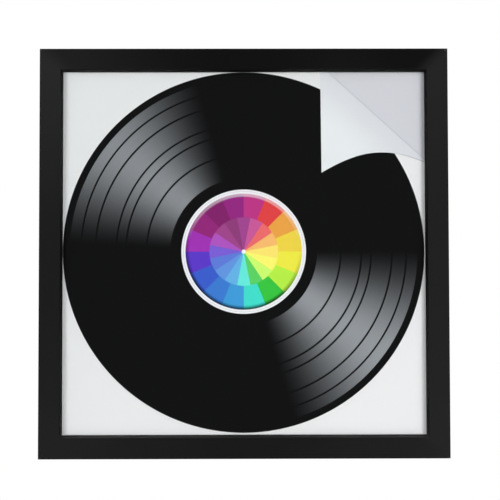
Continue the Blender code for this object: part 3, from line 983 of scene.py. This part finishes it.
def modelBumper():
    print("rubber bumper")
    edge, steps = bumper["edgeRadius"], bumper["edgeSteps"]
    rings = [(0, bumper["baseRadius"])]
    for step in range(steps + 1):
        angle = math.radians(bumper["lean"] + (90 - bumper["lean"]) * step / steps)
        height = bumper["height"] - edge * (1 - math.sin(angle))
        rings.append((height, bumper["faceRadius"] + edge * math.cos(angle)))
    pad = drawUp("rubber_bumper", rings)
    easeEdges(pad, bumper["ease"], roundLook)
    smooth(pad, roundLook["sharpAngle"])
    return pad


# The pressed turn button: a tapered plate with rounded ends, a raised rib and its groove behind

turnButton = {
    "thickness": 1 * millimetre,
    "eyeRadius": 4.5 * millimetre,
    "tipRadius": 3.2 * millimetre,
    "reach": 17 * millimetre,
    "holeRadius": 1.35 * millimetre,
    "ribEnds": (7 * millimetre, 15 * millimetre),
    "ribRadius": 1.5 * millimetre,
    "ribRise": 0.46 * millimetre,
    "grooveRadius": 0.7 * millimetre,
    "sides": 72,
    "ribSides": 40,
    "ease": 0.14 * millimetre,
    "easeSteps": 3,
    "margin": 0.05 * millimetre,
    "flatArea": 0.5 * millimetre ** 2,
    "flatNormal": 0.9999,  # how squarely a broad face looks to the front or the back
    "sharpAngle": 30,
}


def taperedPlate():
    # the eye's round, whose lower half is drawn in and carried down to be the tip
    eye, tip, reach = turnButton["eyeRadius"], turnButton["tipRadius"], turnButton["reach"]
    plate = newPiece(
        "pressed_button", bpy.ops.mesh.primitive_circle_add, vertices=turnButton["sides"],
        radius=eye, fill_type="NGON", rotation=(-math.pi / 2, 0, 0))
    touching = -eye * (eye - tip) / reach  # where a line along both rounds leaves the eye
    startEditing(plate)
    selectWhere(plate, "VERT", lambda vert: vert.co.z < touching)
    bpy.ops.transform.resize(value=(tip / eye, 1, tip / eye), center_override=(0, 0, 0))
    bpy.ops.transform.translate(value=(0, 0, -reach))
    bpy.ops.mesh.select_all(action="SELECT")
    drawOut(0, turnButton["thickness"], 0)
    stopEditing(faceOutwards=True)
    return plate


def roundBar(name, radius, height):
    # a ball pulled out along the button between the rib's two ends
    top, bottom = turnButton["ribEnds"]
    sides = turnButton["ribSides"]
    bar = newPiece(
        name, bpy.ops.mesh.primitive_uv_sphere_add, segments=sides, ring_count=sides // 2,
        radius=radius, location=(0, height, -top))
    startEditing(bar)
    selectWhere(bar, "FACE", lambda face: face.calc_center_median().z < -top)
    drawOut(0, 0, top - bottom)
    stopEditing(faceOutwards=True)
    return bar


def modelTurnButton():
    print("turn button")
    thickness, ribRadius = turnButton["thickness"], turnButton["ribRadius"]
    plate = taperedPlate()
    rib = roundBar("rib", ribRadius, thickness + turnButton["ribRise"] - ribRadius)
    startEditing(rib)
    bpy.ops.mesh.bisect(
        plane_co=(0, thickness / 2, 0), plane_no=(0, 1, 0), use_fill=True, clear_inner=True)
    stopEditing()
    join(plate, rib, "UNION")
    join(plate, roundBar("groove", turnButton["grooveRadius"], 0), "DIFFERENCE")
    hole = newPiece(
        "hole", bpy.ops.mesh.primitive_cylinder_add, vertices=turnButton["sides"],
        radius=turnButton["holeRadius"], depth=3 * thickness, rotation=(math.pi / 2, 0, 0))
    join(plate, hole, "DIFFERENCE")
    mendCuts(plate)
    easeEdges(plate, turnButton["ease"], turnButton)
    mendCuts(plate)
    # a flat margin along every edge keeps the shading of the plate's broad faces flat
    startEditing(plate)
    selectWhere(plate, "FACE", lambda face: (
        abs(face.normal.y) > turnButton["flatNormal"] and face.calc_area() > turnButton["flatArea"]))
    bpy.ops.mesh.inset(thickness=turnButton["margin"], use_even_offset=True)
    stopEditing()
    smooth(plate, turnButton["sharpAngle"])
    return plate


def placedCopy(model, name, place, turn=0.0):
    piece = addObject(name, model.data.copy())
    piece.location = place
    piece.rotation_euler = (0, turn, 0)
    settle(piece, name)
    return piece


def seatOf(node, depth=0.0):
    # the middle of a node's box, at the given height over its deepest point
    low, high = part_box(node)
    return Vector(((low.x + high.x) / 2, low.y + depth, (low.z + high.z) / 2))


def finish(piece, node, slot, body="frame"):
    piece.data.materials.clear()
    piece.data.materials.append(finishes[slot])
    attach(piece, body)
    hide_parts(node)


def repaint(node, material):
    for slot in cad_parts[node].material_slots:
        slot.material = material


print("materials")
finishes = {
    "satin_black": makeSatinBlack(),
    "printed_card": makePrintedPaper(),
    "zinc": makePlated("zinc_plated_steel"),
    "brass_plate": makePlated("brass_plated_steel"),
    "rubber": makeRubber(),
}

finish(modelPrintedSheet(), "printed_insert", "printed_card")

print("rails and joints")
for side in ("top", "right", "bottom", "left"):
    node = f"rail_{side}"
    rail = dressedCopy(node, f"painted_rail_{side}", keptShapes["railEase"], keptShapes["mitreReach"])
    finish(rail, node, "satin_black")
for corner in ("top_right", "bottom_right", "bottom_left", "top_left"):
    node = f"v_nail_{corner}"
    finish(dressedCopy(node, f"joint_nail_{corner}", keptShapes["jointNailEase"]), node, "zinc")

print("glass, cards and board")
repaint("glass_pane", makeGlass())
for node, look in cardLooks.items():
    repaint(node, makeCard(look))

print("turn buttons")
buttonModel = modelTurnButton()
screwModel = modelCrossScrew()
for side, turn in (("top", 0), ("right", 90), ("bottom", 180), ("left", -90)):
    for number in (1, 2):
        body = f"turn_button_{side}_{number}"
        screwNode = f"button_screw_{side}_{number}"
        eye = seatOf(screwNode, -crossScrew["point"][0])
        rear = Vector((eye.x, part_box(body)[0].y, eye.z))
        button = placedCopy(buttonModel, f"pressed_button_{side}_{number}", rear, math.radians(turn))
        finish(button, body, "zinc", body)
        driven = math.radians(turn + crossScrew["turnStep"] * number)
        screw = placedCopy(screwModel, f"cross_screw_{side}_{number}", eye, driven)
        finish(screw, screwNode, "zinc")

print("hanging hardware")
nailModel = modelRoundNail()
bumperModel = modelBumper()
hanger = dressedCopy("sawtooth_hanger", "toothed_hanger", keptShapes["hangerEase"])
finish(hanger, "sawtooth_hanger", "brass_plate")
for side in ("left", "right"):
    underHead = seatOf(f"hanger_nail_{side}", -roundNail["point"][0])
    nail = placedCopy(nailModel, f"round_nail_{side}", underHead)
    finish(nail, f"hanger_nail_{side}", "brass_plate")
    pad = placedCopy(bumperModel, f"rubber_bumper_{side}", seatOf(f"wall_bumper_{side}"))
    finish(pad, f"wall_bumper_{side}", "rubber")
for model in (buttonModel, screwModel, nailModel, bumperModel):
    bpy.data.objects.remove(model)


# Camera, lamps, floor and world

cameraPlace = {
    "fromCentre": Vector((0.0008, -0.7098, 0.0026)),
    "pitch": 1.559,  # degrees, as are the next two
    "yaw": 0.245,
    "roll": -0.101,
    "lens": 61.68,
    "sensor": 36.0,
    "shift": (0.0026, -0.0480),
}
# each lamp's place from the frame's middle, its size, power and colour
lamps = {
    "left_front_softbox": ((-0.48, -1.9, 0.08), (0.5, 0.5), 15.9, (0.99, 1, 1)),
    "right_front_softbox": ((0.45, -1.9, 0.0), (0.5, 0.5), 21.465, (1, 1, 1)),
    "left_side_softbox": ((-0.8, -1.5, 0.55), (0.4, 0.8), 2.9, (1, 0.99, 1)),
    "right_side_softbox": ((0.8, -1.5, 0.55), (0.4, 0.8), 1.74, (1, 1, 0.98)),
    "low_fill": ((0.5, -1.0, -0.45), (0.5, 0.3), 1.2, (1, 1, 0.99)),
    "overhead_softbox": ((0, 0.2, 1.6), (1.4, 1.0), 16.0, (1, 1, 1)),
    "back_softbox": ((0.5, 1.9, 0.6), (1.2, 1.2), 26.0, (1, 1, 1)),
}
mirroredLamps = ("overhead_softbox",)  # the others would grey the blacks behind the pane
studioFloor = {
    "drop": 0.6,
    "radius": 1.2,
    "sides": 96,
    "tones": (shade(236, 236, 235), shade(243, 243, 242)),
    "tonePatches": ((3.0, 4.0, 0.6), (0.3, 0.7)),
    "smoothest": 0.7,
    "roughest": 0.85,
    "grainScale": 300.0,
    "rimShare": 0.8,
}
room = {
    "skyStrength": 0.2,
    "darkSide": 0.03,
    "backdropRamp": (-0.15, 0.35),
}


def addCamera():
    lens = bpy.data.cameras.new("camera")
    lens.lens = cameraPlace["lens"]
    lens.sensor_width = cameraPlace["sensor"]
    lens.shift_x, lens.shift_y = cameraPlace["shift"]
    camera = addObject("camera", lens)
    camera.location = frameCentre + cameraPlace["fromCentre"]
    pitch, yaw, roll = (math.radians(cameraPlace[turn]) for turn in ("pitch", "yaw", "roll"))
    aim = Matrix.Rotation(-yaw, 4, "Z") @ Matrix.Rotation(math.pi / 2 + pitch, 4, "X")
    camera.rotation_euler = (aim @ Matrix.Rotation(roll, 4, "Z")).to_euler()
    bpy.context.scene.camera = camera


def addLamp(name, place, size, power, colour):
    lamp = bpy.data.lights.new(name, "AREA")
    lamp.shape = "RECTANGLE"
    lamp.size, lamp.size_y = size
    lamp.energy = power
    lamp.color = colour
    holder = addObject(name, lamp)
    holder.location = frameCentre + Vector(place)
    holder.rotation_euler = (-Vector(place)).to_track_quat("-Z", "Y").to_euler()
    holder.visible_glossy = name in mirroredLamps
    holder.visible_transmission = name in mirroredLamps


def isSeen(tree):
    paths = addNode(tree, "LightPath").outputs
    seen = maths(tree, "MAXIMUM", paths["Is Camera Ray"], paths["Is Transmission Ray"])
    return maths(tree, "MAXIMUM", seen, paths["Is Glossy Ray"])


def addFloor():
    floor = newPiece(
        "studio_floor", bpy.ops.mesh.primitive_circle_add, vertices=studioFloor["sides"],
        radius=studioFloor["radius"], fill_type="NGON",
        location=(0, 0, railBottomLow.z - studioFloor["drop"]))
    # its far edge would be mirrored as a line in the pane, which shows the even room instead
    floor.visible_glossy = False
    floor.visible_transmission = False
    material, tree, shader, place = newMaterial("pale_floor")
    grain = grained(tree, place, studioFloor)
    tone = patchy(tree, place, studioFloor["tonePatches"])
    plug(tree, shader, {
        "Base Color": mixed(tree, tone, *studioFloor["tones"]),
        "Roughness": grain["Roughness"],
    })
    # towards its rim the floor passes into the white round it
    edge = studioFloor["radius"]
    radius = addNode(tree, "VectorMath", {0: place}, operation="LENGTH").outputs["Value"]
    rim = ramped(tree, radius, studioFloor["rimShare"] * edge, edge, kind="SMOOTHSTEP")
    glow = addNode(tree, "Emission", {"Color": (1, 1, 1, 1), "Strength": 1.0}).outputs[0]
    mixSurfaces(tree, times(tree, rim, isSeen(tree)), shader.outputs[0], glow)
    floor.data.materials.append(material)


def addWorld():
    world = bpy.data.worlds.new("studio")
    world.use_nodes = True
    tree = world.node_tree
    paths = addNode(tree, "LightPath").outputs
    direction = addNode(tree, "TexCoord").outputs["Generated"]
    depth = addNode(tree, "SeparateXYZ", {"Vector": direction}).outputs[1]
    # the white backdrop stands behind the frame, and the room before it is dim
    backdrop = ramped(tree, depth, *room["backdropRamp"], room["darkSide"], 1.0, "SMOOTHSTEP")
    mirrored = maths(tree, "MAXIMUM", paths["Is Glossy Ray"], paths["Is Transmission Ray"])
    seen = maths(tree, "MAXIMUM", paths["Is Camera Ray"], times(tree, mirrored, backdrop))
    lighting = inverted(tree, maths(tree, "MAXIMUM", paths["Is Camera Ray"], mirrored))
    strength = maths(tree, "MULTIPLY_ADD", lighting, room["skyStrength"], seen)
    plug(tree, tree.nodes["Background"], {"Color": (1, 1, 1, 1), "Strength": strength})
    bpy.context.scene.world = world


print("camera and studio")
addCamera()
for name, look in lamps.items():
    addLamp(name, *look)
addFloor()
addWorld()
bpy.context.scene.view_settings.view_transform = "Standard"
